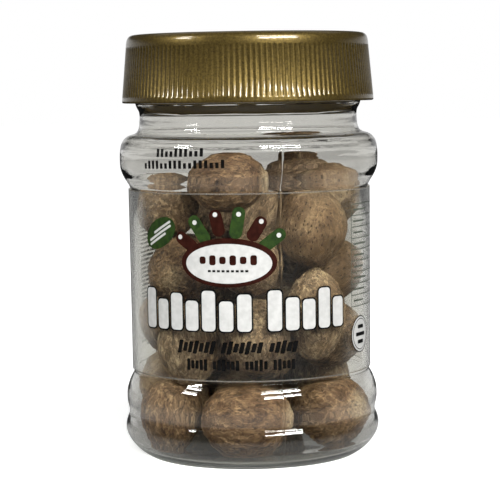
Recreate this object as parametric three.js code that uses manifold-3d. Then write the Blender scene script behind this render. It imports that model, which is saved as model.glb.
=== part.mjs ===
// Shut clear PET jar of whole nutmegs: jar, ribbed screw lid, wrap-round film label and the heap inside.
// Millimetres, +Z up. The foot stands on z = 0, the axis is Z, and the front of the label faces -Y.
import * as THREE from "three";
import { mergeVertices } from "three/addons/utils/BufferGeometryUtils.js";
import Module from "manifold-3d";

const wasm = await Module();
wasm.setup();

// ---- driving dimensions -------------------------------------------------------------------------
const SEGMENTS = 40; // facets round every turned piece

const GAP = 0.3; // air between neighbouring pieces
const WALL = 0.7; // jar wall and base
const BASE_WALL = 0.7;
const PUSH_UP = 1.5; // height of the base's hollow above the standing ring
const RING_IN = 24.4; // standing ring, inside and outside radius
const RING_OUT = 25.7;
const PANEL_BOTTOM = 20.7; // the straight label panel, between the foot and the shoulder
const PANEL_TOP = 65.0;
const PANEL_R_BOTTOM = 28.65;
const PANEL_R_TOP = 28.9;
const FINISH_R = 27.9; // screw finish under the lid
const FINISH_WALL = 1.65;
const MOUTH_Z = 100.0; // rim of the jar's mouth

const LABEL_T = 0.15;
const LABEL_MARGIN = 0.3; // panel left bare above and below the film

const LID_BOTTOM = 85.4;
const LID_TOP = 101.7;
const LID_R = 30.42; // at the rim
const LID_WALL = 1.15;
const LID_TOP_WALL = 1.25;
const RIBS = 144;
const RIB_DEPTH = 0.34;
const RIB_BOTTOM = 86.9;
const RIB_TOP = 98.4;
const RIB_R_BOTTOM = 30.36; // the ribs stand flush with the rim below them and the crown above
const RIB_R_TOP = 29.36;

const CORE_R = 15; // solid middle of the heap
const CORE_R_TOP = 10;
const CORE_BOTTOM = 6;
const CORE_SHOULDER = 56;
const CORE_TOP = 66;
const CORE_SEGMENTS = 16;

// ---- helpers ------------------------------------------------------------------------------------
const rad = THREE.MathUtils.degToRad;

// Turns a profile of [radius, height] points about Z.
function turned(profile, segments = SEGMENTS) {
  const points = profile.map(([r, z]) => new THREE.Vector2(r, z));
  return new THREE.LatheGeometry(points, segments).rotateX(Math.PI / 2);
}

function toSolid(geometry) {
  const bare = (geometry.index ? geometry.toNonIndexed() : geometry.clone()).deleteAttribute("normal");
  const merged = mergeVertices(bare.deleteAttribute("uv"), 1e-3);
  const vertProperties = merged.attributes.position.array;
  const triVerts = new Uint32Array(merged.index.array);
  return new wasm.Manifold(new wasm.Mesh({ numProp: 3, vertProperties, triVerts }));
}

function toGeometry(solid) {
  const mesh = solid.getMesh();
  const geometry = new THREE.BufferGeometry();
  geometry.setAttribute("position", new THREE.BufferAttribute(new Float32Array(mesh.vertProperties), 3));
  geometry.setIndex(new THREE.BufferAttribute(new Uint32Array(mesh.triVerts), 1));
  geometry.computeVertexNormals();
  return geometry;
}

function piece(name, geometry, color, extra = {}) {
  const mesh = new THREE.Mesh(geometry, new THREE.MeshStandardMaterial({ color, ...extra }));
  mesh.name = name;
  return mesh;
}

// ---- jar ----------------------------------------------------------------------------------------
// Blown PET, open at the mouth: standing ring round a hollow base, a foot swollen in two beads, the
// label panel, a bulged shoulder, the neck, and the plain screw finish that the lid hides.
const jarOutside = [
  [0, PUSH_UP],
  [14, PUSH_UP - 0.3],
  [21.5, 0.35],
  [RING_IN, 0],
  [RING_OUT, 0],
  [26.4, 0.4],
  [27.9, 1.5],
  [29.0, 2.5],
  [30.5, 4.8],
  [30.9, 6.0],
  [31.0, 7.0],
  [30.7, 8.5],
  [30.15, 10.0],
  [30.15, 11.1],
  [30.57, 13.2],
  [30.55, 15.0],
  [30.15, 17.0],
  [29.4, 19.0],
  [PANEL_R_BOTTOM, PANEL_BOTTOM],
  [PANEL_R_TOP, PANEL_TOP],
  [29.3, 65.7],
  [30.5, 67.8],
  [31.2, 69.5],
  [31.35, 71.2],
  [31.2, 74.2],
  [30.4, 76.5],
  [29.3, 77.4],
  [27.3, 78.2],
  [26.6, 79.4],
  [26.35, 81.4],
  [26.45, 83.2],
  [27.2, 84.8],
  [FINISH_R, 86],
  [FINISH_R, MOUTH_Z],
];
const jarInside = [
  [FINISH_R - FINISH_WALL, MOUTH_Z],
  [FINISH_R - FINISH_WALL - 0.1, 86.4],
  [25.65, 84.0],
  [25.55, 82.0],
  [25.85, 79.8],
  [26.6, 77.8],
  [29.0, 76.7],
  [30.3, 75.0],
  [30.65, 73.0],
  [30.65, 71],
  [30.2, 69.0],
  [PANEL_R_TOP - WALL, PANEL_TOP],
  [PANEL_R_BOTTOM - WALL, PANEL_BOTTOM],
  [28.65, 19.0],
  [29.4, 17.0],
  [29.85, 15.0],
  [29.8, 13.2],
  [29.43, 11.0],
  [29.5, 9.9],
  [30.25, 7.0],
  [29.75, 4.6],
  [27.7, 1.9],
  [25.2, BASE_WALL],
  [21.5, 0.35 + BASE_WALL],
  [14, PUSH_UP - 0.3 + BASE_WALL],
  [0, PUSH_UP + BASE_WALL],
];
const jar = piece("jar", turned([...jarOutside, ...jarInside]), 0xd5d9d4, {
  transparent: true,
  opacity: 0.3,
});

// ---- label --------------------------------------------------------------------------------------
// Thin film right round the panel, following its slight taper.
function panelRadius(z) {
  return THREE.MathUtils.mapLinear(z, PANEL_BOTTOM, PANEL_TOP, PANEL_R_BOTTOM, PANEL_R_TOP);
}
const filmLow = PANEL_BOTTOM + LABEL_MARGIN;
const filmHigh = PANEL_TOP - LABEL_MARGIN;
const film = [
  [panelRadius(filmLow) + GAP, filmLow],
  [panelRadius(filmLow) + GAP + LABEL_T, filmLow],
  [panelRadius(filmHigh) + GAP + LABEL_T, filmHigh],
  [panelRadius(filmHigh) + GAP, filmHigh],
  [panelRadius(filmLow) + GAP, filmLow],
];
const label = piece("label", turned(film), 0xe8eae4, { transparent: true, opacity: 0.35 });

// ---- lid ----------------------------------------------------------------------------------------
// Moulded cup with a plain rim at the bottom, a band of fine upright ribs and a smooth rounded top.
const lidCup = turned([
  [0, LID_TOP - LID_TOP_WALL],
  [28.3, LID_TOP - LID_TOP_WALL],
  [LID_R - LID_WALL, LID_BOTTOM],
  [LID_R, LID_BOTTOM],
  [LID_R, RIB_BOTTOM],
  [RIB_R_BOTTOM - RIB_DEPTH, RIB_BOTTOM],
  [RIB_R_TOP - RIB_DEPTH, RIB_TOP],
  [RIB_R_TOP, RIB_TOP],
  [29.2, 99.9],
  [28.9, 100.85],
  [28.3, 101.45],
  [27.4, LID_TOP],
  [0, LID_TOP],
]);

// The ribs: a toothed ring rooted in the cup's wall, drawn in towards the top as the wall is.
function ribRing() {
  const outline = new THREE.Shape();
  const step = (2 * Math.PI) / RIBS;
  for (let i = 0; i < RIBS; i++) {
    for (const [at, r] of [[0, RIB_R_BOTTOM - RIB_DEPTH], [0.5, RIB_R_BOTTOM]]) {
      const angle = (i + at) * step;
      outline[i + at === 0 ? "moveTo" : "lineTo"](r * Math.cos(angle), r * Math.sin(angle));
    }
  }
  const root = RIB_R_BOTTOM - LID_WALL / 2;
  outline.holes.push(new THREE.Path().absarc(0, 0, root, 0, 2 * Math.PI, true));
  const height = RIB_TOP - RIB_BOTTOM;
  const extrusion = { depth: height, bevelEnabled: false, curveSegments: SEGMENTS };
  const ring = new THREE.ExtrudeGeometry(outline, extrusion);
  const position = ring.attributes.position;
  for (let i = 0; i < position.count; i++) {
    const shrink = THREE.MathUtils.lerp(1, RIB_R_TOP / RIB_R_BOTTOM, position.getZ(i) / height);
    position.setXYZ(i, position.getX(i) * shrink, position.getY(i) * shrink, RIB_BOTTOM + position.getZ(i));
  }
  return ring;
}
const lidSolid = toSolid(lidCup).add(toSolid(ribRing()));
const lid = piece("lid", toGeometry(lidSolid), 0x8c7038, { metalness: 0.6, roughness: 0.45 });

// ---- nutmegs ------------------------------------------------------------------------------------
// Each nutmeg is a stretched ball: azimuth from the front (+ is right), distance from the axis,
// height, half length, half width, lean of its long axis from upright, and the turn of that lean.
const NUTMEGS_IN_VIEW = [
  [-66, 21.4, 10.3, 9.5, 7.7, 12, 0],
  [-5, 19.2, 10.3, 11.4, 9.2, 88, 80],
  [80, 20.6, 10.6, 10.3, 9.0, 80, 50],
  [-49, 19.6, 26.8, 10.3, 8.0, 8, 0],
  [6, 19.0, 30.2, 9.6, 8.7, 20, 0],
  [50, 20.5, 33.3, 11.6, 7.4, 5, 0],
  [-84, 20.3, 31.5, 9.4, 8.0, 30, -30],
  [88, 20.5, 27.5, 9.2, 8.0, 60, 90],
  [-66, 19.8, 44.8, 9.8, 8.2, 98, -13],
  [8, 12.0, 47.3, 9.4, 7.9, 84, 10],
  [84, 20.3, 43.0, 9.2, 7.6, 60, 90],
  [51, 19.5, 54.2, 9.3, 8.4, 15, 30],
  [-82, 20.3, 57.6, 9.4, 8.0, 70, -10],
  [-18, 17.0, 66.3, 10.0, 7.9, 86, 80],
  [92, 18.0, 61.3, 9.4, 7.8, 80, 40],
  [134, 18.0, 64.5, 9.4, 8.0, 60, 90],
];
// The far side is filled: azimuth and height of each.
const REAR = [
  [136, 12],
  [180, 10],
  [-135, 17],
  [155, 29],
  [-155, 27],
  [-112, 21],
  [142, 43],
  [-154, 54],
  [-108, 49],
];
// Those that show deep in the gaps between the outer ones.
const MIDDLE = [
  [0, 0, 11, 9.6, 8.2, 30, 0],
  [-140, 9, 22, 9.0, 7.4, 60, 20],
  [100, 8, 24, 9.0, 7.4, 70, 40],
  [-120, 8, 38, 9.0, 7.4, 50, 160],
  [120, 10, 40, 9.0, 7.4, 70, 70],
  [180, 8, 50, 9.6, 8.2, 60, 130],
];

const rear = REAR.map(([azimuth, z], i) => {
  const [length, width] = [9.4 + 0.3 * (i % 3), 8.0 + 0.2 * (i % 2)];
  return [azimuth, 19.6, z, length, width, 30 + ((50 * i) % 60), 50 * i];
});

// Value at a place between the points of a rising profile.
function between(points, at) {
  const above = points.findIndex((point) => point[0] >= at);
  if (above <= 0) return above === 0 ? points[0][1] : points.at(-1)[1];
  const [low, high] = [points[above - 1], points[above]];
  return THREE.MathUtils.mapLinear(at, low[0], high[0], low[1], high[1]);
}

// The jar's inside as the heap meets it: wall radius by height, and base height by radius.
const BASE_POINTS = 3;
const wallByHeight = jarInside.slice(0, -BASE_POINTS).reverse().map(([r, z]) => [z, r]);
const baseByRadius = jarInside.slice(-BASE_POINTS - 1).reverse();

class Nutmeg {
  constructor([azimuth, out, z, length, width, lean, turn], inView) {
    this.home = new THREE.Vector3(out * Math.sin(rad(azimuth)), -out * Math.cos(rad(azimuth)), z);
    this.centre = this.home.clone();
    this.axis = new THREE.Vector3(
      Math.sin(rad(lean)) * Math.sin(rad(turn)),
      -Math.sin(rad(lean)) * Math.cos(rad(turn)),
      Math.cos(rad(lean)),
    );
    this.shape = new THREE.IcosahedronGeometry(1, 2)
      .scale(width, width, length)
      .applyQuaternion(new THREE.Quaternion().setFromUnitVectors(new THREE.Vector3(0, 0, 1), this.axis));
    Object.assign(this, { length, width, inView });
  }

  // Distance from the centre to the surface along a direction.
  reach(direction) {
    const along = direction.dot(this.axis) ** 2;
    return 1 / Math.sqrt(along / this.length ** 2 + (1 - along) / this.width ** 2);
  }

  // Brings it back inside the wall and above the base by its worst point.
  contain() {
    const point = new THREE.Vector3();
    const inward = new THREE.Vector3();
    let [deepest, lift] = [0, 0];
    for (let i = 0; i < this.shape.attributes.position.count; i++) {
      point.fromBufferAttribute(this.shape.attributes.position, i).add(this.centre);
      const r = Math.hypot(point.x, point.y);
      const over = r - (between(wallByHeight, point.z) - GAP);
      if (over > deepest) {
        deepest = over;
        inward.set(-point.x / r, -point.y / r, 0);
      }
      if (r < baseByRadius.at(-1)[0]) lift = Math.max(lift, between(baseByRadius, r) + GAP - point.z);
    }
    this.centre.addScaledVector(inward, deepest);
    this.centre.z += lift;
  }

  solid() {
    return toSolid(this.shape.clone().translate(...this.centre.toArray()));
  }
}

// Settles the heap: those in view are drawn to their places, the rest sink, and any two that
// press into each other are pushed apart, mostly the one that isn't in view.
function settle(heap, rounds = 400) {
  const apart = new THREE.Vector3();
  for (let round = 0; round < rounds; round++) {
    for (const one of heap) {
      if (one.inView) one.centre.lerp(one.home, 0.06);
      else one.centre.z -= 0.04;
    }
    heap.forEach((one, i) => {
      for (const other of heap.slice(i + 1)) {
        apart.subVectors(other.centre, one.centre);
        const distance = apart.length();
        apart.divideScalar(distance);
        const gap = distance - one.reach(apart) - other.reach(apart);
        if (gap >= 0) continue;
        const share = one.inView === other.inView ? 0.5 : one.inView ? 0.2 : 0.8;
        one.centre.addScaledVector(apart, gap * share);
        other.centre.addScaledVector(apart, -gap * (1 - share));
      }
    });
    for (const one of heap) one.contain();
  }
}

const heap = [
  ...NUTMEGS_IN_VIEW.map((row) => new Nutmeg(row, true)),
  ...[...rear, ...MIDDLE].map((row) => new Nutmeg(row, false)),
];
settle(heap);

const coreProfile = [
  [0, CORE_BOTTOM],
  [CORE_R, CORE_BOTTOM],
  [CORE_R, CORE_SHOULDER],
  [CORE_R_TOP, CORE_TOP],
  [0, CORE_TOP],
];
const core = toSolid(turned(coreProfile, CORE_SEGMENTS));
const heapSolid = heap.reduce((sum, one) => sum.add(one.solid()), core);
const nutmegs = piece("nutmegs", toGeometry(heapSolid), 0x785f46, { roughness: 0.8 });

// ---- the whole ----------------------------------------------------------------------------------
const part = new THREE.Group();
part.name = "jar_of_whole_nutmegs";
part.add(jar, label, lid, nutmegs);
export default part;
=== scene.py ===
import math

import bpy
import numpy as np
from mathutils import Matrix, Quaternion, Vector


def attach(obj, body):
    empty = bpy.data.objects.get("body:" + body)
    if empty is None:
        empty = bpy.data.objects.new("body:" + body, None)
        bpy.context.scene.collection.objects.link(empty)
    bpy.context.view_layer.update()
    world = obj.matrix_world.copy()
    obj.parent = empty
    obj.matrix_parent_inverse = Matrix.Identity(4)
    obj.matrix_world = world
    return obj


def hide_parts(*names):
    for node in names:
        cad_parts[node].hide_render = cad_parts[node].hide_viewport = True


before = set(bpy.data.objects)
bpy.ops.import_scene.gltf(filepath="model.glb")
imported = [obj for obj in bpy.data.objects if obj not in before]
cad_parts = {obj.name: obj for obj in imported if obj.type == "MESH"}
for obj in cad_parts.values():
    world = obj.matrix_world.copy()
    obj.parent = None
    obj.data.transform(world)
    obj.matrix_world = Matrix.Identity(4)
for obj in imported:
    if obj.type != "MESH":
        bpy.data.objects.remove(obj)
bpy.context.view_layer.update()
MM = 0.001

# ---- Studio ---------------------------------------------------------------------------------------
# The jar stands on a wide white table in an even, rather dim room. Two soft boxes hang in front, a
# wide one to the right and a narrow one to the left, a third of the way up, each of two strips.
CAMERA_DISTANCE = 470 * MM
CAMERA_HEIGHT = 89.6 * MM
CAMERA_DROP = math.radians(4.92)
CAMERA_ROLL = math.radians(0.85)
FOCAL_IN_FRAMES = 1930 / 500

bpy.ops.object.camera_add(location=(0, -CAMERA_DISTANCE, CAMERA_HEIGHT))
camera = bpy.context.object
camera.matrix_world = (
    Matrix.Translation((0, -CAMERA_DISTANCE, CAMERA_HEIGHT))
    @ Matrix.Rotation(math.pi / 2 - CAMERA_DROP, 4, "X")
    @ Matrix.Rotation(-CAMERA_ROLL, 4, "Z")
)
camera.data.sensor_width = 36
camera.data.lens = 36 * FOCAL_IN_FRAMES
bpy.context.scene.camera = camera

BOX_DISTANCE = 0.8
BOX_TALL = 0.045
SOFT_BOXES = {  # azimuth to the right, height above level, width, watts
    "box_right_low": (30, 26.0, 0.48, 3.0),
    "box_right_high": (30, 36.0, 0.48, 3.0),
    "box_left_low": (-64, 26.0, 0.2, 1.1),
    "box_left_high": (-64, 36.0, 0.2, 1.1),
}
AIM = Vector((0, 0, 0.05))
for name, (azimuth, level, wide, watts) in SOFT_BOXES.items():
    turn, rise = math.radians(azimuth), math.radians(level)
    way = Vector((math.sin(turn) * math.cos(rise), -math.cos(turn) * math.cos(rise), math.sin(rise)))
    bpy.ops.object.light_add(type="AREA", location=AIM + BOX_DISTANCE * way)
    box = bpy.context.object
    box.name = name
    box.rotation_euler = way.to_track_quat("Z", "Y").to_euler()
    box.data.shape = "RECTANGLE"
    box.data.size, box.data.size_y = wide, BOX_TALL
    box.data.energy = watts

# A broad veil light over the camera shapes the dull skins and is flagged off from gloss and glass.
bpy.ops.object.light_add(type="AREA", location=(0.12, -0.85, 0.55))
veil = bpy.context.object
veil.name = "veil_light"
veil.rotation_euler = (veil.location - AIM).to_track_quat("Z", "Y").to_euler()
veil.data.size = 0.5
veil.data.energy = 8.0
veil.visible_glossy = veil.visible_transmission = False


def linear(colour):
    """An sRGB hex colour as linear red, green, blue and alpha."""
    parts = [int(colour[i : i + 2], 16) / 255 for i in (1, 3, 5)]
    return tuple(c / 12.92 if c <= 0.04045 else ((c + 0.055) / 1.055) ** 2.4 for c in parts) + (1.0,)


def add(tree, kind, inputs=None, **settings):
    """Adds a node with its settings, and fills each input with a value or a link from a socket."""
    made = tree.nodes.new(kind)
    for name, value in settings.items():
        setattr(made, name, value)
    for name, value in (inputs or {}).items():
        if isinstance(value, bpy.types.NodeSocket):
            tree.links.new(value, made.inputs[name])
        else:
            made.inputs[name].default_value = value
    return made


def new_material(name):
    """A material with its node tree and its Principled shader."""
    material = bpy.data.materials.new(name)
    material.use_nodes = True
    return material, material.node_tree, material.node_tree.nodes["Principled BSDF"]


def alone(piece, mode="OBJECT"):
    """Makes a piece the only one selected, in that mode."""
    if bpy.context.object and bpy.context.object.mode != "OBJECT":
        bpy.ops.object.mode_set(mode="OBJECT")
    bpy.ops.object.select_all(action="DESELECT")
    piece.select_set(True)
    bpy.context.view_layer.objects.active = piece
    bpy.ops.object.mode_set(mode=mode)


# Brightness of the room and the table as dull surfaces, the lens, glass and gloss meet them: white
# behind the jar, grey through it, and flagged off with black cards where it would veil a gloss.


def by_ray(tree, levels, otherwise):
    """A brightness for each kind of ray, the first that fits."""
    kinds = add(tree, "ShaderNodeLightPath").outputs
    level = otherwise
    for kind, strength in reversed(levels.items()):
        level = add(tree, "ShaderNodeMix", {0: kinds[kind], 2: level, 3: strength}).outputs[0]
    return level


world = bpy.data.worlds.new("room")
bpy.context.scene.world = world
world.use_nodes = True
tree = world.node_tree
walls = tree.nodes["Background"]
way = add(tree, "ShaderNodeSeparateXYZ", {"Vector": add(tree, "ShaderNodeTexCoord").outputs["Generated"]}).outputs
# A white wall, black cards over it and a pale ceiling, by the sine of the height above level.
bands = add(tree, "ShaderNodeValToRGB", {"Fac": way["Z"]})
bands.color_ramp.elements[0].position, bands.color_ramp.elements[0].color = 0.1, linear("#ffffff")
bands.color_ramp.elements[1].position, bands.color_ramp.elements[1].color = 0.72, linear("#ffffff")
for height, colour in ((0.22, "#4c4c49"), (0.58, "#4c4c49")):
    bands.color_ramp.elements.new(height).color = linear(colour)
tree.links.new(bands.outputs["Color"], walls.inputs["Color"])


def front_to_back(start, end, front, back):
    """A brightness that goes from one level before the jar to another behind it."""
    reach = {"Value": way["Y"], "From Min": start, "From Max": end}
    return add(tree, "ShaderNodeMapRange", {**reach, "To Min": front, "To Max": back}).outputs[0]


# Dull surfaces are lit most from before the jar and least from its sides.
facing = add(tree, "ShaderNodeMapRange", {"Value": way["Y"], "From Min": -1.0})
fill = add(tree, "ShaderNodeValToRGB", {"Fac": facing.outputs[0]})
fill.color_ramp.elements[0].position, fill.color_ramp.elements[0].color = 0.1, (0.7, 0.7, 0.7, 1)
fill.color_ramp.elements[1].position, fill.color_ramp.elements[1].color = 0.95, (0.6, 0.6, 0.6, 1)
fill.color_ramp.elements.new(0.7).color = (0.18, 0.18, 0.18, 1)
FILL = fill.outputs["Color"]
ROOM = {
    "Diffuse Depth": FILL,
    "Is Camera Ray": 1.0,
    "Is Transmission Ray": front_to_back(0.1, 0.8, 0.02, 0.76),
    "Is Glossy Ray": front_to_back(0.0, 0.9, 0.015, 0.62),
}
tree.links.new(by_ray(tree, ROOM, FILL), walls.inputs["Strength"])
bpy.context.scene.view_settings.view_transform = "Standard"

bpy.ops.object.select_all(action="DESELECT")
bpy.ops.mesh.primitive_plane_add(size=8, location=(0, 0, 0))
floor = bpy.context.object
floor.name = "floor"
board, tree, paint = new_material("white_board_glowing_with_painted_shadow")
paint.inputs["Roughness"].default_value = 0.9
paint.inputs["Emission Color"].default_value = (1, 1, 1, 1)
place = add(tree, "ShaderNodeTexCoord").outputs["Object"]
away = add(tree, "ShaderNodeVectorMath", {0: place}, operation="LENGTH")
depth = add(tree, "ShaderNodeSeparateXYZ", {"Vector": place}).outputs["Y"]
ahead = add(tree, "ShaderNodeMath", {0: away.outputs["Value"], 1: -0.55, 2: depth}, operation="MULTIPLY_ADD")
behind = {"Value": ahead.outputs[0], "From Min": -0.12, "From Max": 0.03, "To Min": 0.03}
behind = add(tree, "ShaderNodeMapRange", behind)


def by_distance(*stops):
    """A brightness by distance from the jar's axis: each stop is metres and level."""
    reach = 0.4
    share = add(tree, "ShaderNodeMath", {0: away.outputs["Value"], 1: reach}, operation="DIVIDE")
    ramp = add(tree, "ShaderNodeValToRGB", {"Fac": share.outputs[0]})
    ramp.color_ramp.elements.remove(ramp.color_ramp.elements[1])
    for i, (distance, level) in enumerate(stops):
        stop = ramp.color_ramp.elements[0] if i == 0 else ramp.color_ramp.elements.new(distance / reach)
        stop.position, stop.color = distance / reach, (level, level, level, 1)
    return ramp.outputs["Color"]


def dark_before(level):
    """The same brightness, but hardly any on the table well before the jar."""
    return add(tree, "ShaderNodeMath", {0: level, 1: behind.outputs[0]}, operation="MULTIPLY").outputs[0]


# Painted light and shadow: the table glows to the lens though it is no lamp, less near the jar so that its real
# shadow still shows. Seen through the glass it is painted dark under and round the jar as the jar's shadow, and dark
# well before it. Seen in gloss it is bright only near the jar.
TABLE = {
    "Diffuse Depth": 0.3,
    "Is Camera Ray": 0.85,
    "Is Transmission Ray": dark_before(by_distance((0.018, 0.1), (0.03, 0.5), (0.05, 0.3), (0.12, 0.65))),
    "Is Glossy Ray": by_distance((0.05, 0.35), (0.14, 0.008)),
}
tree.links.new(by_ray(tree, TABLE, 0.5), paint.inputs["Base Color"])
TABLE_GLOW = {
    "Diffuse Depth": 0.0,
    "Is Camera Ray": by_distance((0.04, 0.5), (0.4, 0.86)),
    "Is Transmission Ray": dark_before(by_distance((0.018, 0.03), (0.03, 0.2), (0.05, 0.13), (0.2, 0.34))),
}
tree.links.new(by_ray(tree, TABLE_GLOW, 0.0), paint.inputs["Emission Strength"])
floor.data.materials.append(board)

# ---- Jar ------------------------------------------------------------------------------------------
# A jar stretch-blown from clear PET: a hollow base on a standing ring, a foot swollen in two beads,
# a straight panel for the label, a bulged shoulder, a neck and the finish that the lid screws on.
# Each point is radius and height in millimetres; True marks a sharp corner.
JAR_OUTSIDE = [
    (0, 1.5), (14, 1.2), (21.5, 0.35), (24.4, 0, True), (25.7, 0, True), (26.4, 0.4), (27.9, 1.5),
    (28.95, 2.5), (29.8, 3.6), (30.5, 4.8), (30.88, 6.0), (30.96, 6.9), (30.87, 7.7), (30.66, 8.5),
    (30.4, 9.2), (30.14, 9.9), (30.08, 10.5), (30.15, 11.1), (30.38, 12.2), (30.54, 13.2),
    (30.57, 14.3), (30.52, 15.3), (30.4, 16.1), (30.24, 16.7), (30.05, 17.3), (29.81, 17.95),
    (29.53, 18.6), (29.23, 19.2), (28.92, 19.75), (28.69, 20.2, True), (28.65, 20.7, True),
    (28.9, 65.0, True), (29.25, 65.7), (30.5, 67.8), (31.15, 69.6), (31.3, 71.5), (31.2, 74.0),
    (30.9, 75.5), (30.35, 76.5), (29.3, 77.4), (28.0, 77.85), (27.25, 78.2), (26.85, 78.7),
    (26.5, 79.8), (26.35, 81.4), (26.36, 82.7), (26.52, 83.4), (26.85, 84.0), (27.12, 84.6),
    (27.35, 85.3), (27.9, 86, True), (27.9, 100, True),
]
JAR_INSIDE = [
    (26.25, 100, True), (26.15, 86.4), (26.0, 85.3), (25.75, 84.3), (25.56, 83.4), (25.52, 82.4),
    (25.6, 81.2), (25.85, 79.8), (26.2, 78.5), (26.7, 77.7), (27.8, 77.15), (29.0, 76.7),
    (29.8, 75.9), (30.4, 74.7), (30.6, 73.4), (30.65, 71), (30.4, 69.4), (29.2, 67.2), (28.2, 65.2),
    (27.95, 20.7), (28.02, 20.1), (28.22, 19.75), (28.53, 19.2), (28.83, 18.6), (29.11, 17.95),
    (29.35, 17.3), (29.53, 16.7), (29.68, 16.1), (29.8, 15.3), (29.85, 14.3), (29.8, 13.2),
    (29.62, 12.2), (29.45, 11.1), (29.42, 10.5), (29.5, 9.9), (29.74, 9.2), (29.98, 8.5),
    (30.17, 7.7), (30.26, 6.9), (30.2, 6.0), (29.85, 4.8), (29.2, 3.5), (27.7, 1.9), (25.2, 0.7),
    (21.5, 1.05), (14, 1.9), (0, 2.2),
]
JAR_STEPS = 240


def drawn_curve(name, outline, bends):
    """One curve through the outline's points, bent between them and sharp at the marked corners."""
    bpy.ops.object.select_all(action="DESELECT")
    bpy.ops.curve.primitive_bezier_curve_add(location=(0, 0, 0))
    curve = bpy.context.object
    curve.name = name
    curve.data.resolution_u = bends
    points = curve.data.splines[0].bezier_points
    points.add(len(outline) - len(points))
    for point, (r, z, *corner) in zip(points, outline):
        point.co = (r * MM, 0, z * MM)
        point.handle_left_type = point.handle_right_type = "VECTOR" if corner else "AUTO"
    points.update()
    alone(curve)
    bpy.ops.object.convert(target="MESH")
    return bpy.context.object


def spun(name, outline, bends, steps, sharp=40):
    """Spins an outline round the jar's axis into one closed skin, creased where it turns sharply."""
    piece = drawn_curve(name, outline, bends)
    piece.data.name = name
    alone(piece, "EDIT")
    bpy.ops.mesh.select_all(action="SELECT")
    bpy.ops.mesh.spin(steps=steps, angle=math.tau, center=(0, 0, 0), axis=(0, 0, 1))
    bpy.ops.mesh.select_all(action="SELECT")
    bpy.ops.mesh.remove_doubles(threshold=0.004 * MM)
    bpy.ops.mesh.normals_make_consistent(inside=False)
    alone(piece)
    bpy.ops.object.shade_smooth_by_angle(angle=math.radians(sharp))
    return piece


jar = spun("jar_pet", JAR_OUTSIDE + JAR_INSIDE, 4, JAR_STEPS, 20)

# The two halves of the blow mould leave a fine raised line down each side of the wall.
PARTING, PARTING_WIDE, PARTING_RISE = math.radians(14), 0.35 * MM, 0.05 * MM
across = Vector((math.cos(PARTING), math.sin(PARTING), 0))
alone(jar, "EDIT")
for off in (-PARTING_WIDE / 2, 0, PARTING_WIDE / 2):
    bpy.ops.mesh.select_all(action="SELECT")
    bpy.ops.mesh.bisect(plane_co=across * off, plane_no=across)
alone(jar)
for part in (*jar.data.polygons, *jar.data.edges):
    part.select = False
for corner in jar.data.vertices:
    on_line = abs(corner.co.dot(across)) < 0.01 * MM
    corner.select = on_line and math.hypot(corner.co.x, corner.co.y) > 27 * MM and 2 * MM < corner.co.z < 84 * MM
    corner.select = corner.select and corner.normal.dot(Vector((corner.co.x, corner.co.y, 0))) > 0
alone(jar, "EDIT")
wider = 1 + PARTING_RISE / (30 * MM)
bpy.ops.transform.resize(value=(wider, wider, 1))
alone(jar)
bpy.ops.object.shade_smooth_by_angle(angle=math.radians(20))

clear_pet, tree, pet = new_material("blown_pet_clear")
# Clear PET is a little grey at its edges and bends light like most plastics; blowing leaves it
# glossy, but its wall wanders by a few hundredths of a millimetre over every centimetre or so.
pet.inputs["Base Color"].default_value = linear("#f6f5f1")
pet.inputs["Roughness"].default_value = 0.0
pet.inputs["IOR"].default_value = 1.575
pet.inputs["Transmission Weight"].default_value = 1.0
place = add(tree, "ShaderNodeTexCoord").outputs["Object"]
around = add(tree, "ShaderNodeMapping", {"Vector": place, "Scale": (1, 1, 7)}).outputs["Vector"]
wander = add(tree, "ShaderNodeTexNoise", {"Vector": around, "Scale": 1 / (16 * MM), "Detail": 2.0})
# The panel is blown hard against the mould and is even; the neck, shoulder and foot are not.
height = add(tree, "ShaderNodeSeparateXYZ", {"Vector": place}).outputs["Z"]
share = add(tree, "ShaderNodeMapRange", {"Value": height, "From Max": 90 * MM})
uneven = add(tree, "ShaderNodeValToRGB", {"Fac": share.outputs[0]})
uneven.color_ramp.elements[0].position, uneven.color_ramp.elements[0].color = 0.12, (0.04, 0.04, 0.04, 1)
uneven.color_ramp.elements[1].position, uneven.color_ramp.elements[1].color = 0.88, (0.2, 0.2, 0.2, 1)
for z, amount in ((21, 0.03), (64, 0.03), (70, 0.22)):
    uneven.color_ramp.elements.new(z / 90).color = (amount, amount, amount, 1)
wave = add(tree, "ShaderNodeMath", {0: wander.outputs["Fac"], 1: uneven.outputs["Color"]}, operation="MULTIPLY")
ripple = add(tree, "ShaderNodeBump", {"Height": wave.outputs[0], "Strength": 1.0, "Distance": 0.4 * MM})
tree.links.new(ripple.outputs["Normal"], pet.inputs["Normal"])
# Lamps shine through the wall, so that what is inside is lit.
let_through = add(tree, "ShaderNodeBsdfTransparent", {"Color": linear("#eef0ec")})
for_lamps = add(
    tree,
    "ShaderNodeMixShader",
    {0: add(tree, "ShaderNodeLightPath").outputs["Is Shadow Ray"], 1: pet.outputs[0], 2: let_through.outputs[0]},
)
tree.links.new(for_lamps.outputs[0], tree.nodes["Material Output"].inputs["Surface"])

jar.data.materials.append(clear_pet)
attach(jar, "root")
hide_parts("jar")

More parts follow.
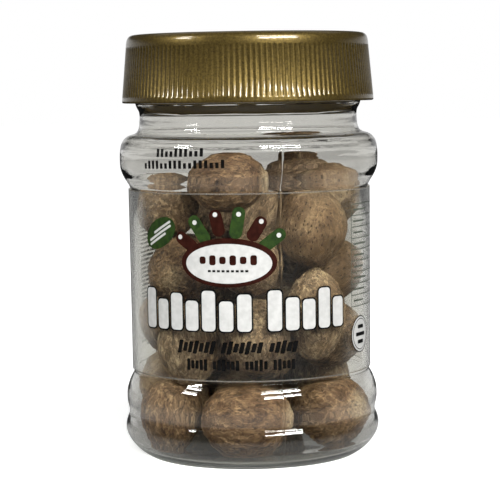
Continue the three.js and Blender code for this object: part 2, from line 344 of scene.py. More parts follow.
# ---- Nutmegs --------------------------------------------------------------------------------------
# Dried seeds without their shell or mace: hard brown eggs, finely wrinkled lengthways, some worn to
# a pale pitted skin, with a broad scar at the stalk end. They were poured in and lie as they fell.
# Each row is azimuth to the right, distance from the axis, height, half length, half width, lean
# of the long axis, and the turn of that lean, in degrees and millimetres.
IN_VIEW = [
    (-66, 21.4, 10.3, 9.5, 7.7, 12, 0),
    (-5, 19.2, 10.3, 11.4, 9.2, 88, 80),
    (80, 20.6, 10.6, 10.3, 9.0, 80, 50),
    (-49, 19.6, 26.8, 10.3, 8.0, 8, 0),
    (6, 19.0, 30.2, 9.6, 8.7, 20, 0),
    (50, 20.5, 33.3, 11.6, 7.4, 5, 0),
    (-84, 20.3, 31.5, 9.4, 8.0, 30, -30),
    (88, 20.5, 27.5, 9.2, 8.0, 60, 90),
    (-66, 19.8, 44.8, 9.8, 8.2, 98, -13),
    (8, 12.0, 47.3, 9.4, 7.9, 84, 10),
    (84, 20.3, 43.0, 9.2, 7.6, 60, 90),
    (51, 19.5, 54.2, 9.3, 8.4, 15, 30),
    (-82, 20.3, 57.6, 9.4, 8.0, 70, -10),
    (-18, 17.0, 66.3, 10.0, 7.9, 86, 80),
    (92, 18.0, 61.3, 9.4, 7.8, 80, 40),
    (134, 18.0, 64.5, 9.4, 8.0, 60, 90),
]
# The far side, seen only in the gaps: azimuth and height of each.
REAR = [
    (136, 12), (180, 10), (-135, 17), (155, 29), (-155, 27), (-112, 21), (142, 43), (-154, 54),
    (-108, 49),
]
MIDDLE = [
    (0, 0, 11, 9.6, 8.2, 30, 0),
    (-140, 9, 22, 9.0, 7.4, 60, 20),
    (100, 8, 24, 9.0, 7.4, 70, 40),
    (-120, 8, 38, 9.0, 7.4, 50, 160),
    (120, 10, 40, 9.0, 7.4, 70, 70),
    (180, 8, 50, 9.6, 8.2, 60, 130),
]
WALL_GAP = 0.3

rear = []
for i, (azimuth, z) in enumerate(REAR):
    rear.append((azimuth, 19.6, z, 9.4 + 0.3 * (i % 3), 8.0 + 0.2 * (i % 2), 30 + 50 * i % 60, 50 * i))

wall_z, wall_r = zip(*sorted((z, r) for r, z, *_ in JAR_INSIDE[:-3]))
base_r, base_z = zip(*sorted((r, z) for r, z, *_ in JAR_INSIDE[-4:]))


class Nutmeg:
    """A seed's place in the heap, as a stretched ball."""

    def __init__(self, row, in_view):
        azimuth, out, z, self.length, self.width, lean, turn = row
        azimuth, lean, turn = math.radians(azimuth), math.radians(lean), math.radians(turn)
        self.home = Vector((out * math.sin(azimuth), -out * math.cos(azimuth), z))
        self.centre = self.home.copy()
        self.axis = Vector((math.sin(lean) * math.sin(turn), -math.sin(lean) * math.cos(turn), math.cos(lean)))
        self.in_view = in_view
        self.turned = Vector((0, 0, 1)).rotation_difference(self.axis)
        ball = [Vector((math.cos(5 * v) * math.sin(v), math.sin(5 * v) * math.sin(v), math.cos(v)))
                for v in np.arccos(1 - 2 * (np.arange(90) + 0.5) / 90)]
        stretch = Vector((self.width, self.width, self.length))
        self.skin = np.array([self.turned @ (p * stretch) for p in ball])

    def reach(self, way):
        """Distance from the centre to the skin along a direction."""
        along = way.dot(self.axis) ** 2
        return 1 / math.sqrt(along / self.length**2 + (1 - along) / self.width**2)

    def contain(self):
        """Brings it back inside the wall and above the base by its worst point."""
        points = self.skin + np.array(self.centre)
        r = np.hypot(points[:, 0], points[:, 1])
        over = r - (np.interp(points[:, 2], wall_z, wall_r) - WALL_GAP)
        worst = int(over.argmax())
        lift = np.interp(r, base_r, base_z) + WALL_GAP - points[:, 2]
        if over[worst] > 0:
            inward = Vector((-points[worst, 0], -points[worst, 1], 0)) / r[worst]
            self.centre += inward * float(over[worst])
        self.centre.z += max(0.0, float(lift[r < base_r[-1]].max(initial=0)))


def settle(heap, rounds=400):
    """Draws those in view to their places, lets the rest sink, and pushes apart any that press."""
    for _ in range(rounds):
        for one in heap:
            if one.in_view:
                one.centre += 0.06 * (one.home - one.centre)
            else:
                one.centre.z -= 0.04
        for i, one in enumerate(heap):
            for other in heap[i + 1 :]:
                apart = other.centre - one.centre
                distance = apart.length
                if distance > 24:
                    continue
                apart /= distance
                gap = distance - one.reach(apart) - other.reach(apart)
                if gap >= 0:
                    continue
                share = 0.5 if one.in_view == other.in_view else 0.2 if one.in_view else 0.8
                one.centre += apart * (gap * share)
                other.centre -= apart * (gap * (1 - share))
        for one in heap:
            one.contain()


heap = [Nutmeg(row, True) for row in IN_VIEW] + [Nutmeg(row, False) for row in rear + MIDDLE]
settle(heap)


def shaped_by(piece, kind, **settings):
    """Gives a piece a modifier and applies it."""
    alone(piece)
    modifier = piece.modifiers.new(kind.title(), kind)
    for name, value in settings.items():
        setattr(modifier, name, value)
    bpy.ops.object.modifier_apply(modifier=modifier.name)


def relief(name, kind, size, **settings):
    """A pattern for Displace: size is how wide one of its marks is, on a ball of radius 1."""
    texture = bpy.data.textures.new(name, kind)
    texture.noise_scale = size
    for setting, value in settings.items():
        setattr(texture, setting, value)
    return texture


bpy.ops.object.select_all(action="DESELECT")
bpy.ops.object.empty_add(location=(0, 0, 0))
lengthways = bpy.context.object  # patterns read through it are drawn out along a seed's length
lengthways.scale = (1, 1, 3.2)

CELLS = dict(distance_metric="DISTANCE", weight_1=-1.0, weight_2=1.0, noise_intensity=1.4)
SEED_KINDS = {  # relief patterns of each kind: pattern, whether drawn out lengthways, depth
    "wrinkled": [
        (relief("folds", "CLOUDS", 0.15, noise_depth=3, noise_type="HARD_NOISE"), True, 0.06),
        (relief("net", "VORONOI", 0.16, **CELLS), True, 0.03),
        (relief("skin", "CLOUDS", 0.05, noise_depth=2), False, 0.012),
    ],
    "pitted": [
        (relief("pores", "VORONOI", 0.09, weight_1=1.0, noise_intensity=1.2), True, 0.03),
        (relief("wear", "CLOUDS", 0.5, noise_depth=1), False, 0.04),
        (relief("grain", "CLOUDS", 0.04, noise_depth=2), False, 0.014),
    ],
    "netted": [
        (relief("mesh", "VORONOI", 0.18, **CELLS), False, 0.03),
        (relief("veins", "CLOUDS", 0.13, noise_depth=4, noise_type="HARD_NOISE"), True, 0.05),
        (relief("dust", "CLOUDS", 0.045, noise_depth=2), False, 0.012),
    ],
    "scarred": [
        (relief("rays", "CLOUDS", 0.12, noise_depth=2, noise_type="HARD_NOISE"), True, 0.065),
        (relief("lines", "VORONOI", 0.13, **CELLS), True, 0.03),
        (relief("fluff", "CLOUDS", 0.05, noise_depth=2), False, 0.014),
    ],
}
KIND_OF = {11: "pitted", 14: "pitted", 10: "pitted", 8: "scarred", 9: "netted", 1: "netted", 2: "netted",
           13: "netted", 5: "wrinkled", 4: "wrinkled", 3: "wrinkled", 0: "wrinkled"}


PORES = {"wrinkled": 0.2, "pitted": 0.8, "netted": 0.3, "scarred": 0.1}
SCAR = {"wrinkled": 0.0, "pitted": 0.3, "netted": 0.8, "scarred": 0.45}
# Set tones of some seeds in view. A few are made paler or darker than their own brown, as painted light and shade.
TONE_AND_LIGHT_OF = {0: 0.2, 1: 0.0, 2: 0.1, 3: 1.0, 4: 0.8, 5: 0.9, 8: 0.0, 11: 0.3}


def blank_seed(kind):
    """One seed of a kind on a ball of radius 1: an egg with a nub and a scar, then its relief."""
    bpy.ops.object.select_all(action="DESELECT")
    bpy.ops.mesh.primitive_ico_sphere_add(subdivisions=6, radius=1)
    seed = bpy.context.object
    seed.name = kind
    shaped_by(seed, "SIMPLE_DEFORM", deform_method="TAPER", deform_axis="Z", factor=0.14)
    alone(seed, "EDIT")
    bpy.ops.mesh.select_all(action="DESELECT")
    alone(seed)
    heights = np.array([v.co.z for v in seed.data.vertices])
    for end, push in ((heights.argmax(), 0.05), (heights.argmin(), 0.09)):
        seed.data.vertices[int(end)].select = True
        alone(seed, "EDIT")
        bpy.ops.transform.translate(
            value=(0, 0, push),
            use_proportional_edit=True,
            proportional_size=0.5,
            proportional_edit_falloff="SMOOTH",
        )
        bpy.ops.mesh.select_all(action="DESELECT")
        alone(seed)
    even = np.array([v.co for v in seed.data.vertices])
    outward = np.array([v.normal for v in seed.data.vertices])
    for pattern, drawn_out, depth in SEED_KINDS[kind]:
        shaped_by(
            seed,
            "DISPLACE",
            texture=pattern,
            strength=depth,
            mid_level=0.75,
            texture_coords="OBJECT" if drawn_out else "LOCAL",
            texture_coords_object=lengthways if drawn_out else None,
        )
    # How far each point rose or sank in the relief. The skin is painted darker where it sank and paler where it rose,
    # as light and shade.
    shaped = np.array([v.co for v in seed.data.vertices])
    rise = ((shaped - even) * outward).sum(1)
    rise = (rise - rise.mean()) / rise.std()
    seed.data.attributes.new("rise", "FLOAT", "POINT").data.foreach_set("value", rise.astype(np.float32))
    return seed


def placed_seed(blank, kind, one, number):
    """A copy of a blank seed at its true size and place, with marks of its own for the colours."""
    seed = blank.copy()
    seed.data = blank.data.copy()
    bpy.context.scene.collection.objects.link(seed)
    count = len(seed.data.vertices)
    own = np.array([v.co for v in seed.data.vertices]) * (one.width, one.width, one.length)
    own += 100 * number
    seed.data.attributes.new("own_mm", "FLOAT_VECTOR", "POINT").data.foreach_set("vector", own.ravel())
    to_end = np.array([v.co.z for v in seed.data.vertices])
    scar = SCAR[kind] * np.clip((to_end - 0.84) / 0.14, 0, 1)
    for name, value in (("tone", TONE_AND_LIGHT_OF.get(number, number * 0.618 % 1)), ("pores", PORES[kind]), ("scar", scar)):
        marks = seed.data.attributes.new(name, "FLOAT", "POINT").data
        marks.foreach_set("value", np.broadcast_to(value, count).astype(np.float32))
    spin = Quaternion((0, 0, 1), 2.4 * number)
    size = Matrix.Diagonal((one.width * MM, one.width * MM, one.length * MM, 1))
    place = Matrix.Translation(one.centre * MM) @ one.turned.to_matrix().to_4x4()
    seed.data.transform(place @ size @ spin.to_matrix().to_4x4())
    shaped_by(
        seed,
        "DISPLACE",
        texture=dents,
        texture_coords="GLOBAL",
        strength=1.1 * MM,
        mid_level=0.6,
    )
    # Its true skin, uneven as it is, also stays off the wall and the base.
    laid = one.centre.copy()
    one.skin = np.array([v.co for v in seed.data.vertices]) / MM - np.array(laid)
    for _ in range(4):
        one.contain()
    seed.data.transform(Matrix.Translation((one.centre - laid) * MM))
    return seed


dents = relief("dents", "CLOUDS", 10 * MM, noise_depth=1)
seed_skin, tree, skin = new_material("dried_nutmeg_seed")
# A dry, matt, woody skin. Fine wrinkles run lengthways. The colour is painted darker the lower the skin lies and
# paler the higher, which is painted shade in the folds and a painted highlight on the tops over the seed's own
# browns. Short pores are sunk in it like cork's, and every seed has its own shade of brown, a few set paler or darker
# as painted light and shade.
FURROW_BROWN_SHADED, BROWN, TOP_TAN_LIT = "#4a3e32", "#826e58", "#bfab8c"
place = add(tree, "ShaderNodeAttribute", attribute_name="own_mm").outputs["Vector"]
rise = add(tree, "ShaderNodeAttribute", attribute_name="rise").outputs["Fac"]
tone = add(tree, "ShaderNodeAttribute", attribute_name="tone").outputs["Fac"]
pores = add(tree, "ShaderNodeAttribute", attribute_name="pores").outputs["Fac"]
drawn = add(tree, "ShaderNodeMapping", {"Vector": place, "Scale": (1, 1, 0.5)}).outputs["Vector"]
warp = add(tree, "ShaderNodeTexNoise", {"Vector": place, "Scale": 1 / 3.2, "Detail": 1.0})
bent = add(
    tree, "ShaderNodeVectorMath", {0: warp.outputs["Color"], 1: (1.6, 1.6, 1.6), 2: drawn}, operation="MULTIPLY_ADD"
)
wrinkle = add(tree, "ShaderNodeTexNoise", {"Vector": bent.outputs[0], "Scale": 1 / 1.6, "Detail": 4.0})
aside = add(tree, "ShaderNodeMath", {0: wrinkle.outputs["Fac"], 1: 0.5}, operation="SUBTRACT")
aside = add(tree, "ShaderNodeMath", {0: aside.outputs[0]}, operation="ABSOLUTE")
furrow = add(tree, "ShaderNodeMapRange", {"Value": aside.outputs[0], "From Max": 0.04, "To Min": 0.0, "To Max": 0.24})
fold = add(tree, "ShaderNodeTexNoise", {"Vector": bent.outputs[0], "Scale": 1 / 2.1, "Detail": 2.0})
aside = add(tree, "ShaderNodeMath", {0: fold.outputs["Fac"], 1: 0.52}, operation="SUBTRACT")
aside = add(tree, "ShaderNodeMath", {0: aside.outputs[0]}, operation="ABSOLUTE")
ridge = {"Value": aside.outputs[0], "From Max": 0.026, "To Min": 0.2, "To Max": 0.0}
ridge = add(tree, "ShaderNodeMapRange", ridge)
ridged = add(tree, "ShaderNodeMath", {0: furrow.outputs[0], 1: ridge.outputs[0]}, operation="ADD")
fleck = add(tree, "ShaderNodeTexNoise", {"Vector": drawn, "Scale": 1 / 0.55, "Detail": 3.0, "Roughness": 0.7})
lined = add(
    tree, "ShaderNodeMath", {0: fleck.outputs["Fac"], 1: 0.3, 2: ridged.outputs[0]}, operation="MULTIPLY_ADD"
)
height = add(tree, "ShaderNodeMath", {0: rise, 1: 0.06, 2: lined.outputs[0]}, operation="MULTIPLY_ADD")
# Rubbed seeds have lost most of their wrinkles.
LEVEL = 0.4
calm = add(tree, "ShaderNodeMapRange", {"Value": pores, "To Min": 1.0, "To Max": 0.35}).outputs[0]
height = add(tree, "ShaderNodeMath", {0: height.outputs[0], 1: LEVEL}, operation="SUBTRACT")
height = add(tree, "ShaderNodeMath", {0: height.outputs[0], 1: calm, 2: LEVEL}, operation="MULTIPLY_ADD")
# Painted light and shade: the lower the relief and the bump lie, the darker the brown, from the shaded furrows up to
# the lit tan of the tops.
brown = add(tree, "ShaderNodeValToRGB", {"Fac": height.outputs[0]})
brown.color_ramp.elements[0].position, brown.color_ramp.elements[0].color = 0.15, linear(FURROW_BROWN_SHADED)
brown.color_ramp.elements[1].position, brown.color_ramp.elements[1].color = 0.6, linear(TOP_TAN_LIT)
brown.color_ramp.elements.new(0.38).color = linear(BROWN)
cloud = add(tree, "ShaderNodeTexNoise", {"Vector": place, "Scale": 1 / 4.5, "Detail": 3.0})
patch = add(tree, "ShaderNodeValToRGB", {"Fac": cloud.outputs["Fac"]})
patch.color_ramp.elements[0].position, patch.color_ramp.elements[0].color = 0.36, linear("#cabfb4")
patch.color_ramp.elements[1].position, patch.color_ramp.elements[1].color = 0.64, linear("#ffffff")
shade = add(tree, "ShaderNodeValToRGB", {"Fac": tone})
shade.color_ramp.elements[0].color = linear("#cbbdb0")
shade.color_ramp.elements[1].color = linear("#ffffff")
cork = add(tree, "ShaderNodeMapping", {"Vector": place, "Scale": (1, 1, 0.45)}).outputs["Vector"]
holes = add(tree, "ShaderNodeTexVoronoi", {"Vector": cork, "Scale": 1 / 0.8, "Randomness": 1.0})
pit = add(
    tree,
    "ShaderNodeMapRange",
    {"Value": holes.outputs["Distance"], "From Min": 0.14, "From Max": 0.3, "To Min": 1.0, "To Max": 0.0},
)
sunk = add(tree, "ShaderNodeMath", {0: pit.outputs[0], 1: pores}, operation="MULTIPLY")
skin_colour = brown.outputs["Color"]
for share, layer in ((1.0, patch.outputs["Color"]), (1.0, shade.outputs["Color"]), (sunk.outputs[0], linear("#5a4432"))):
    mixed = add(
        tree, "ShaderNodeMix", {0: share, 6: skin_colour, 7: layer}, data_type="RGBA", blend_type="MULTIPLY"
    )
    skin_colour = mixed.outputs[2]
# The scar at the stalk end is pale and mealy.
meal = add(tree, "ShaderNodeMath", {0: fleck.outputs["Fac"], 1: 3.0, 2: -1.0}, operation="MULTIPLY_ADD")
scar = add(tree, "ShaderNodeAttribute", attribute_name="scar").outputs["Fac"]
pale = add(tree, "ShaderNodeMath", {0: scar, 1: meal.outputs[0]}, operation="MULTIPLY", use_clamp=True)
mixed = add(tree, "ShaderNodeMix", {0: pale.outputs[0], 6: skin_colour, 7: linear("#b8a586")}, data_type="RGBA")
tree.links.new(mixed.outputs[2], skin.inputs["Base Color"])
skin.inputs["Roughness"].default_value = 0.7
skin.inputs["Specular IOR Level"].default_value = 0.35
depth = add(tree, "ShaderNodeMath", {0: lined.outputs[0], 1: sunk.outputs[0]}, operation="SUBTRACT")
grit = add(tree, "ShaderNodeBump", {"Height": depth.outputs[0], "Strength": 0.9, "Distance": 0.2 * MM})
tree.links.new(grit.outputs["Normal"], skin.inputs["Normal"])

kinds = list(SEED_KINDS)
for kind in kinds:
    blank = blank_seed(kind)
    seeds = []
    for number, one in enumerate(heap):
        if KIND_OF.get(number, kinds[number % 4]) == kind:
            seeds.append(placed_seed(blank, kind, one, number))
    alone(seeds[0])
    for seed in seeds:
        seed.select_set(True)
    bpy.ops.object.join()
    nutmegs = bpy.context.object
    nutmegs.name = nutmegs.data.name = "nutmegs_" + kind
    bpy.ops.object.shade_smooth()
    nutmegs.data.materials.append(seed_skin)
    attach(nutmegs, "root")
    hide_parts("nutmegs")
    bpy.data.objects.remove(blank)
bpy.data.objects.remove(lengthways)

# ---- Lid ------------------------------------------------------------------------------------------
# A screw cap moulded in polypropylene with gold flake in it: a plain rim, a band of fine upright
# ribs for grip, and a smooth crown with a rounded edge.
LID_OUTLINE = [
    (0, 100.45), (27.9, 100.45), (28.4, 99.9), (29.3, 85.5, True), (29.4, 85.4, True),
    (30.32, 85.4), (30.43, 85.55), (30.42, 86.3), (30.4, 86.6, True), (30.36, 87.1, True),
    (29.36, 98.2, True), (29.32, 98.7, True), (29.2, 99.9), (28.9, 100.85), (28.3, 101.45),
    (27.4, 101.68, True), (0, 101.7),
]
RIBS = 144
GROOVE = (1.0, 0.35, 0.0, 0.35)  # across one groove and rib, as shares of the groove's depth
GROOVE_DEPTH = 0.34
GROOVE_LOW, GROOVE_HIGH = 86.9, 98.4
lid = spun("lid_gold", LID_OUTLINE, 4, RIBS * len(GROOVE))
for column, share in enumerate(GROOVE):
    for flat in (*lid.data.edges, *lid.data.polygons):
        flat.select = False
    for corner in lid.data.vertices:
        x, y, z = corner.co / MM
        turn = round(math.atan2(y, x) / math.tau * RIBS * len(GROOVE)) % len(GROOVE)
        in_band = math.hypot(x, y) > 29.33 and GROOVE_LOW < z < GROOVE_HIGH
        corner.select = share > 0 and in_band and turn == column
    alone(lid, "EDIT")
    inward = 1 - share * GROOVE_DEPTH / 29.9
    bpy.ops.transform.resize(value=(inward, inward, 1))
    alone(lid)

gold_flake, tree, gold = new_material("gold_flake_polypropylene_moulded")
# Fine metal flake in the plastic: a dull olive gold that sparkles a little,
# with the silky gloss of a polished mould on the crown.
place = add(tree, "ShaderNodeTexCoord").outputs["Object"]
FLAKE_PER_M = 1 / (0.45 * MM)
flake = add(tree, "ShaderNodeTexNoise", {"Vector": place, "Scale": FLAKE_PER_M, "Detail": 2.0, "Roughness": 0.7})
sparkle = add(tree, "ShaderNodeValToRGB", {"Fac": flake.outputs["Fac"]})
sparkle.color_ramp.elements[0].position, sparkle.color_ramp.elements[0].color = 0.3, linear("#504222")
sparkle.color_ramp.elements[1].position, sparkle.color_ramp.elements[1].color = 0.72, linear("#806c36")
tree.links.new(sparkle.outputs["Color"], gold.inputs["Base Color"])
gold.inputs["Metallic"].default_value = 0.8
gold.inputs["Roughness"].default_value = 0.4
gold.inputs["Coat Weight"].default_value = 1.0
gold.inputs["Coat Roughness"].default_value = 0.1
grain = add(tree, "ShaderNodeBump", {"Height": flake.outputs["Fac"], "Strength": 0.5, "Distance": 0.08 * MM})
tree.links.new(grain.outputs["Normal"], gold.inputs["Normal"])
lid.data.materials.append(gold_flake)

matt_flake, tree, matt = new_material("gold_flake_polypropylene_matt")
# Inside, where the mould isn't polished, the same plastic is dull and takes light evenly. It is painted much paler
# than the outside, partly as painted light on the cap's shaded inside.
place = add(tree, "ShaderNodeTexCoord").outputs["Object"]
flake = add(tree, "ShaderNodeTexNoise", {"Vector": place, "Scale": FLAKE_PER_M, "Detail": 2.0, "Roughness": 0.7})
dull = add(tree, "ShaderNodeValToRGB", {"Fac": flake.outputs["Fac"]})
dull.color_ramp.elements[0].position, dull.color_ramp.elements[0].color = 0.3, linear("#b09a68")
dull.color_ramp.elements[1].position, dull.color_ramp.elements[1].color = 0.72, linear("#d0ba86")
tree.links.new(dull.outputs["Color"], matt.inputs["Base Color"])
matt.inputs["Roughness"].default_value = 0.8
lid.data.materials.append(matt_flake)
for flat in lid.data.polygons:
    outward = Vector((flat.center.x, flat.center.y, 0)).normalized()
    ceiling = flat.normal.z < -0.5 and flat.center.z > 95 * MM
    flat.material_index = 1 if ceiling or flat.normal.dot(outward) < -0.3 else 0
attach(lid, "root")
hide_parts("lid")

# ---- Label ----------------------------------------------------------------------------------------
# Clear film wrapped round the panel and printed in four flat inks.
FILM_LOW, FILM_HIGH = 21.0, 64.7
PANEL = ((20.7, 28.65), (65.0, 28.9))
FILM_OFF, FILM_THICK = 0.3, 0.15
LAP = 120.5  # azimuth of the edge where the film laps over itself, from the back


def panel_r(z):
    """Radius of the jar's label panel at a height."""
    return float(np.interp(z, *zip(*PANEL)))


low, high = panel_r(FILM_LOW) + FILM_OFF, panel_r(FILM_HIGH) + FILM_OFF
film_outline = [
    (low, FILM_LOW, True), (low + FILM_THICK, FILM_LOW, True),
    (high + FILM_THICK, FILM_HIGH, True), (high, FILM_HIGH, True), (low, FILM_LOW, True),
]
film = spun("label_film", film_outline, 1, JAR_STEPS)
clear_film, tree, gloss = new_material("polypropylene_film_clear")
# Clear and glossy, so that it is seen only where it turns away at the jar's sides; its cut edges
# and the lap down one side are hazed.
gloss.inputs["Roughness"].default_value = 0.0
gloss.inputs["IOR"].default_value = 1.49
gloss.inputs["Transmission Weight"].default_value = 1.0
place = add(tree, "ShaderNodeTexCoord").outputs["Object"]
at = add(tree, "ShaderNodeSeparateXYZ", {"Vector": place}).outputs
middle, half = (FILM_LOW + FILM_HIGH) / 2 * MM, (FILM_HIGH - FILM_LOW) / 2 * MM
off = add(tree, "ShaderNodeMath", {0: at["Z"], 1: middle}, operation="SUBTRACT")
off = add(tree, "ShaderNodeMath", {0: off.outputs[0]}, operation="ABSOLUTE")
rim = {"Value": off.outputs[0], "From Min": half - 0.35 * MM, "From Max": half - 0.1 * MM}
rim = add(tree, "ShaderNodeMapRange", rim)
turn = add(tree, "ShaderNodeMath", {0: at["X"], 1: at["Y"]}, operation="ARCTAN2")
aside = add(tree, "ShaderNodeMath", {0: turn.outputs[0], 1: math.radians(LAP - 180)}, operation="SUBTRACT")
aside = add(tree, "ShaderNodeMath", {0: aside.outputs[0]}, operation="ABSOLUTE")
lap = {"Value": aside.outputs[0], "From Min": 0.012, "From Max": 0.005}
lap = add(tree, "ShaderNodeMapRange", lap)
edge = add(tree, "ShaderNodeMath", {0: rim.outputs[0], 1: lap.outputs[0]}, operation="MAXIMUM")
tint = add(tree, "ShaderNodeMix", {0: edge.outputs[0], 6: linear("#fbfbf8"), 7: linear("#a39c90")}, data_type="RGBA")
tree.links.new(tint.outputs[2], gloss.inputs["Base Color"])
haze = add(tree, "ShaderNodeMapRange", {"Value": edge.outputs[0], "To Min": 1.0, "To Max": 0.8})
tree.links.new(haze.outputs[0], gloss.inputs["Transmission Weight"])
for_lamps = add(
    tree,
    "ShaderNodeMixShader",
    {0: add(tree, "ShaderNodeLightPath").outputs["Is Shadow Ray"], 1: gloss.outputs[0],
     2: add(tree, "ShaderNodeBsdfTransparent", {"Color": linear("#f7f7f4")}).outputs[0]},
)
tree.links.new(for_lamps.outputs[0], tree.nodes["Material Output"].inputs["Surface"])
film.data.materials.append(clear_film)
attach(film, "root")
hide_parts("label")

# ---- Print ----------------------------------------------------------------------------------------
# Flat screen-printed inks on the outside of the film: white, black, green, maroon and grey fields
# and plain shapes. Each is drawn flat, as wide as it lies round the film, and then wrapped.
FLAT_R = 29.3 * MM  # the radius at which an arc is as wide as its flat drawing
INK_STEP = 0.02  # millimetres that one layer of ink stands over the last
prints = {}


def field(ink, layer, x, z, wide, high, corner=0.0, turn=0.0, slant=0.0):
    """A flat field of ink: its middle, size and corner radius, how far it is turned and slanted."""
    bpy.ops.object.select_all(action="DESELECT")
    bpy.ops.mesh.primitive_plane_add(size=1)
    piece = bpy.context.object
    upright = Matrix.Rotation(math.pi / 2, 4, "X")
    lean = Matrix.Shear("XY", 4, (math.tan(math.radians(slant)), 0)) if slant else Matrix.Identity(4)
    piece.data.transform(upright @ Matrix.Diagonal((wide * MM, high * MM, 1, 1)))
    if corner:
        alone(piece, "EDIT")
        bpy.ops.mesh.select_all(action="SELECT")
        bpy.ops.mesh.bevel(offset=corner * MM, segments=4, affect="VERTICES")
        alone(piece)
    place = Matrix.Translation((x * MM, -layer * INK_STEP * MM, z * MM))
    piece.data.transform(place @ Matrix.Rotation(math.radians(turn), 4, "Y") @ lean)
    prints.setdefault(ink, []).append(piece)


def oval(ink, layer, x, z, wide, high, turn=0.0):
    """A flat oval of ink: its middle, its two widths, and how far it is turned."""
    bpy.ops.object.select_all(action="DESELECT")
    bpy.ops.mesh.primitive_circle_add(vertices=48, radius=0.5, fill_type="NGON")
    piece = bpy.context.object
    place = Matrix.Translation((x * MM, -layer * INK_STEP * MM, z * MM))
    upright = Matrix.Rotation(math.pi / 2, 4, "X")
    size = Matrix.Diagonal((wide * MM, high * MM, 1, 1))
    piece.data.transform(place @ Matrix.Rotation(math.radians(turn), 4, "Y") @ upright @ size)
    prints.setdefault(ink, []).append(piece)


# The big white band of upright lozenges, edged in black, in a long and a short run.
BAND_Z, BAND_PITCH, BAND_WIDE = 37.4, 4.25, 3.3
for start, heights in ((-27.0, (9.4, 7.0, 8.6, 7.0, 9.4, 7.0, 8.6)), (5.6, (9.4, 7.6, 7.0, 9.4, 7.0))):
    for i, high in enumerate(heights):
        x = start + BAND_PITCH * i
        low = BAND_Z - 4.6 + high / 2
        field("black", 1, x, low, BAND_WIDE + 0.7, high + 0.7, 1.1)
        field("white", 3, x, low, BAND_WIDE, high, 0.9)

# Two black rows under it: a slanted one, and a finer upright one, each broken in groups.
for i in range(21):
    if i not in (7, 15):
        field("black", 1, -17.6 + 1.4 * i, 29.0, 1.05, (3.1, 2.1, 2.6)[i % 3], 0.25, slant=14)
for i in range(24):
    if i not in (5, 12, 18):
        field("black", 1, -15.4 + 1.1 * i, 24.9, 0.8, (2.7, 1.9, 1.9, 2.4)[i % 4], 0.2)

# A white plaque with a maroon rim under a fan of maroon and green petals.
oval("maroon", 2, -5.2, 48.7, 23.0, 11.4)
oval("white", 3, -5.2, 48.5, 20.6, 9.2)
for i in range(6):
    field("maroon", 5, -11.2 + 2.4 * i, 49.3, 1.5, 2.3 if i % 2 else 1.7, 0.5)
for i in range(9):
    field("black", 5, -9.6 + 1.1 * i, 46.8, 0.7, 0.5)
for i, ink in enumerate(("maroon", "green", "maroon", "green", "maroon", "green")):
    lean = -56 + 22 * i
    x, z = -5.0 + 12.5 * math.sin(math.radians(lean)), 47.5 + 10.6 * math.cos(math.radians(lean))
    field(ink, 1, x, z, 3.0, 7.4 if ink == "green" else 6.2, 1.4, lean)
    oval("white", 3, x + 2.0 * math.sin(math.radians(lean)), z + 2.0 * math.cos(math.radians(lean)), 1.1, 1.1)

# A green oval with white stripes at the left, and a ringed white disc at the right.
oval("green", 1, -23.4, 55.2, 10.6, 6.6, -28)
for off, long in ((-1.6, 6.2), (0, 8.2), (1.6, 6.2)):
    field("white", 3, -23.4 + off * 0.47, 55.2 + off * 0.88, long, 0.55, 0.2, -28)
for ink, layer, across in (("black", 1, 8.8), ("white", 2, 8.3), ("black", 3, 7.5), ("white", 4, 7.1)):
    oval(ink, layer, 32.2, 29.9, across, across)
for off, long in ((1.8, 3.0), (0, 4.8), (-1.8, 3.0)):
    field("black", 5, 32.2, 29.9 + off, long, 0.9, 0.2)


def rows(ink, left, right, top, bottom, pitch, high, gap):
    """Rows of short bars, broken as unevenly as words are, and shorter at the last row."""
    lines = int((top - bottom) / pitch)
    for line in range(lines):
        x, word = left, line
        end = right if line < lines - 1 else (left + 2 * right) / 3
        while x < end - 1:
            long = min(1.8 + 1.1 * ((3 * word + 2 * line) % 4), end - x)
            field(ink, 1, x + long / 2, top - pitch * line, long, high)
            x += long + gap
            word += 1


# The sides and the back: a ruled table, blocks of fine rows, and a white panel of upright bars.
for line in range(10):
    field("grey", 1, 39.0, 61.0 - 2.7 * line, 22.0, 0.2)
for side in (28.0, 50.0):
    field("grey", 1, side, 48.85, 0.2, 24.6)
for line in range(9):
    for start, long in ((29.0, 7.0 - line % 3), (43.5, 4.0)):
        field("grey", 1, start + long / 2, 59.65 - 2.7 * line, long, 0.4)
rows("black", 71.0, 90.0, 61.0, 44.0, 2.2, 0.75, 0.8)
rows("black", 71.0, 90.0, 40.0, 27.0, 2.2, 0.75, 0.8)
rows("black", -89.0, -72.0, 61.0, 47.0, 2.2, 0.75, 0.8)
rows("grey", -66.0, -51.0, 62.0, 24.0, 1.0, 0.55, 0.4)
field("white", 1, -80.5, 34.0, 18.0, 14.0, 0.6)
for i in range(22):
    field("black", 2, -87.9 + 0.71 * i, 34.0, 0.2 + 0.12 * ((5 * i) % 4), 11.0)

# A date stamp on the bare shoulder: two rows of small black bars, put on askew.
shoulder = {}
film_prints, prints = prints, shoulder
for row, (left, count, z) in enumerate(((-21.6, 10, 74.0), (-25.6, 17, 71.2))):
    for i in range(count):
        high = (1.9, 1.3, 1.9, 1.9, 1.3)[(2 * i + row) % 5]
        field("black", 1, left + 1.25 * i, z + 0.02 * i + high / 2 - 0.95, 0.75, high, 0.1)
prints = film_prints


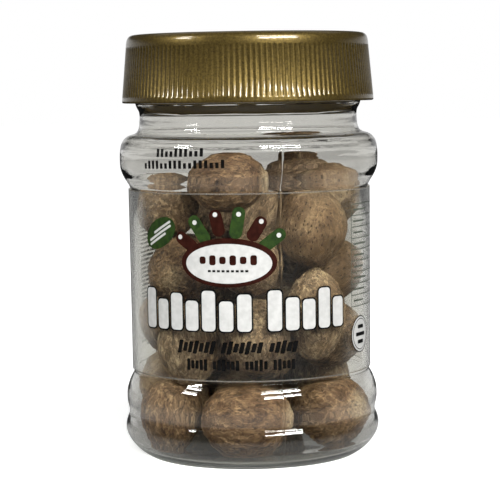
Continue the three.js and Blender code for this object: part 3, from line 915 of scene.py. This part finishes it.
def laid_on(piece, carrier):
    """Wraps a flat print round what carries it; its layer stays its height off the surface."""
    for corner in piece.data.vertices:
        x, layer, z = corner.co
        way = Vector((math.sin(x / FLAT_R), -math.cos(x / FLAT_R), 0))
        met = carrier.ray_cast(way * 0.04 + Vector((0, 0, z)), -way)[1]
        corner.co = way * (math.hypot(met.x, met.y) - layer) + Vector((0, 0, z))


INKS = {
    "white": ("screen_ink_opaque_white", "#b3b3b0", "#bfbfbc"),
    "black": ("screen_ink_black", "#070707", "#111010"),
    "green": ("screen_ink_leaf_green", "#1f2f17", "#2d411b"),
    "maroon": ("screen_ink_maroon", "#230d08", "#30140e"),
    "grey": ("screen_ink_grey", "#454a42", "#5a5f56"),
}
for group, carrier, owner in ((prints, film, "label"), (shoulder, jar, "shoulder")):
    for ink, shapes in group.items():
        alone(shapes[0])
        for shape in shapes:
            shape.select_set(True)
        if len(shapes) > 1:
            bpy.ops.object.join()
        printed = bpy.context.object
        printed.name = printed.data.name = f"print_{owner}_{ink}"
        reach = [corner.co.x / MM for corner in printed.data.vertices]
        alone(printed, "EDIT")
        for cut in range(math.ceil(min(reach)), math.ceil(max(reach))):
            bpy.ops.mesh.select_all(action="SELECT")
            bpy.ops.mesh.bisect(plane_co=(cut * MM, 0, 0), plane_no=(1, 0, 0))
        alone(printed)
        laid_on(printed, carrier)
        shaped_by(printed, "SOLIDIFY", thickness=0.6 * INK_STEP * MM, offset=-1)
        name, dark, light = INKS[ink]
        if name not in bpy.data.materials:
            # Flat ink, a little uneven where the screen left more of it, with a low gloss.
            material, tree, coat = new_material(name)
            place = add(tree, "ShaderNodeTexCoord").outputs["Object"]
            lay = add(tree, "ShaderNodeTexNoise", {"Vector": place, "Scale": 1 / (1.4 * MM), "Detail": 3.0})
            body = add(tree, "ShaderNodeValToRGB", {"Fac": lay.outputs["Fac"]})
            body.color_ramp.elements[0].position, body.color_ramp.elements[0].color = 0.35, linear(dark)
            body.color_ramp.elements[1].position, body.color_ramp.elements[1].color = 0.65, linear(light)
            tree.links.new(body.outputs["Color"], coat.inputs["Base Color"])
            coat.inputs["Roughness"].default_value = 0.38
            coat.inputs["Specular IOR Level"].default_value = 0.1
        printed.data.materials.append(bpy.data.materials[name])
        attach(printed, "root")
